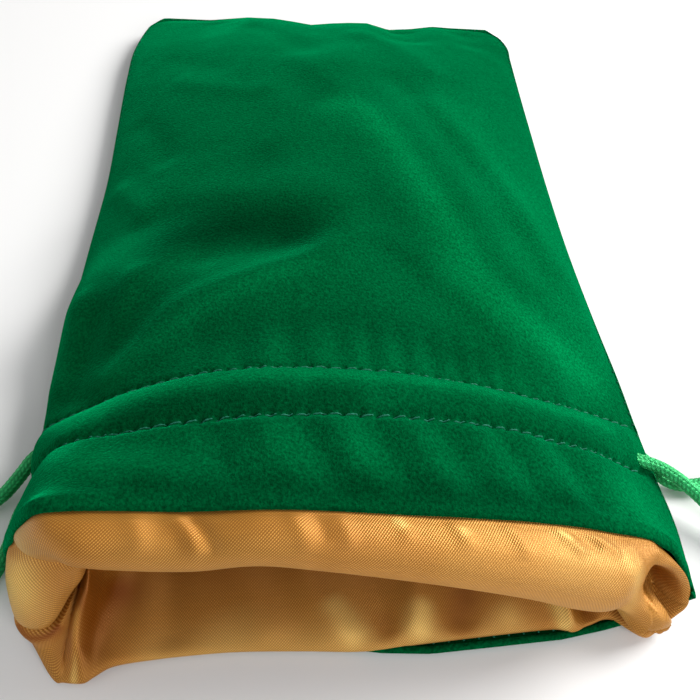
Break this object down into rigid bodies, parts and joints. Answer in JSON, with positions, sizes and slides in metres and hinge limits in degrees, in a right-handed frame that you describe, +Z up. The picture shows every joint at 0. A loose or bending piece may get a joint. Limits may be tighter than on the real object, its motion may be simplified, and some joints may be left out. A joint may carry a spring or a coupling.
{
  "type": "drawstring dice bag",
  "caption": "Small velvet pouch with a rolled satin lining and two drawcords in a stitched channel, lying open on its back.",
  "frame": {"origin": "under the middle of the bag, on the surface that it lies on, at the centre of its length and width without the cord tails and knots", "axes": "+X across the bag to the viewer's right, +Y from the mouth to the closed end, +Z up from the back panel to the front panel"},
  "size_m": [0.1666, 0.1972, 0.0265],
  "materials": {
    "velvet": "short-pile green velvet",
    "satin": "gold satin with a fine twill",
    "thread": "green sewing thread",
    "cord": "green satin cord"
  },
  "bodies": {
    "pouch": {"velvet_back_panel": "velvet", "lining_back_panel": "satin", "channel_stitches_back_lower": "thread", "channel_stitches_back_upper": "thread", "velvet_side_seam_thread_left": "thread", "velvet_side_seam_thread_right": "thread", "velvet_end_seam_thread": "thread", "lining_side_seam_thread_left": "thread", "lining_side_seam_thread_right": "thread", "lining_end_seam_thread": "thread", "mouth_seam_thread_back": "thread", "drawcord_right_channel_run": "cord", "drawcord_left_channel_run": "cord", "drawcord_right_tail_upper": "cord", "drawcord_right_tail_lower": "cord", "drawcord_left_tail_upper": "cord", "drawcord_left_tail_lower": "cord"},
    "front_wall": {"velvet_front_panel": "velvet", "lining_front_panel": "satin", "channel_stitches_front_lower": "thread", "channel_stitches_front_upper": "thread", "mouth_seam_thread_front": "thread"},
    "drawcord_right": {"drawcord_right_knot": "cord"},
    "drawcord_left": {"drawcord_left_knot": "cord"}
  },
  "joints": [
    {"name": "mouth_open", "type": "hinge", "parent": "pouch", "child": "front_wall", "pos_m": [0, 0.084, 0.005], "axis": [-1, 0, 0], "range_deg": [0, 7], "deforming": ["drawcord_right_channel_run", "drawcord_left_channel_run"]},
    {"name": "drawcord_right_pull", "type": "slide", "parent": "pouch", "child": "drawcord_right", "axis": [1, 0, 0], "range_m": [0, 0.035], "deforming": ["drawcord_right_tail_upper", "drawcord_right_tail_lower"]},
    {"name": "drawcord_left_pull", "type": "slide", "parent": "pouch", "child": "drawcord_left", "axis": [-1, 0, 0], "range_m": [0, 0.035], "deforming": ["drawcord_left_tail_upper", "drawcord_left_tail_lower"]}
  ]
}
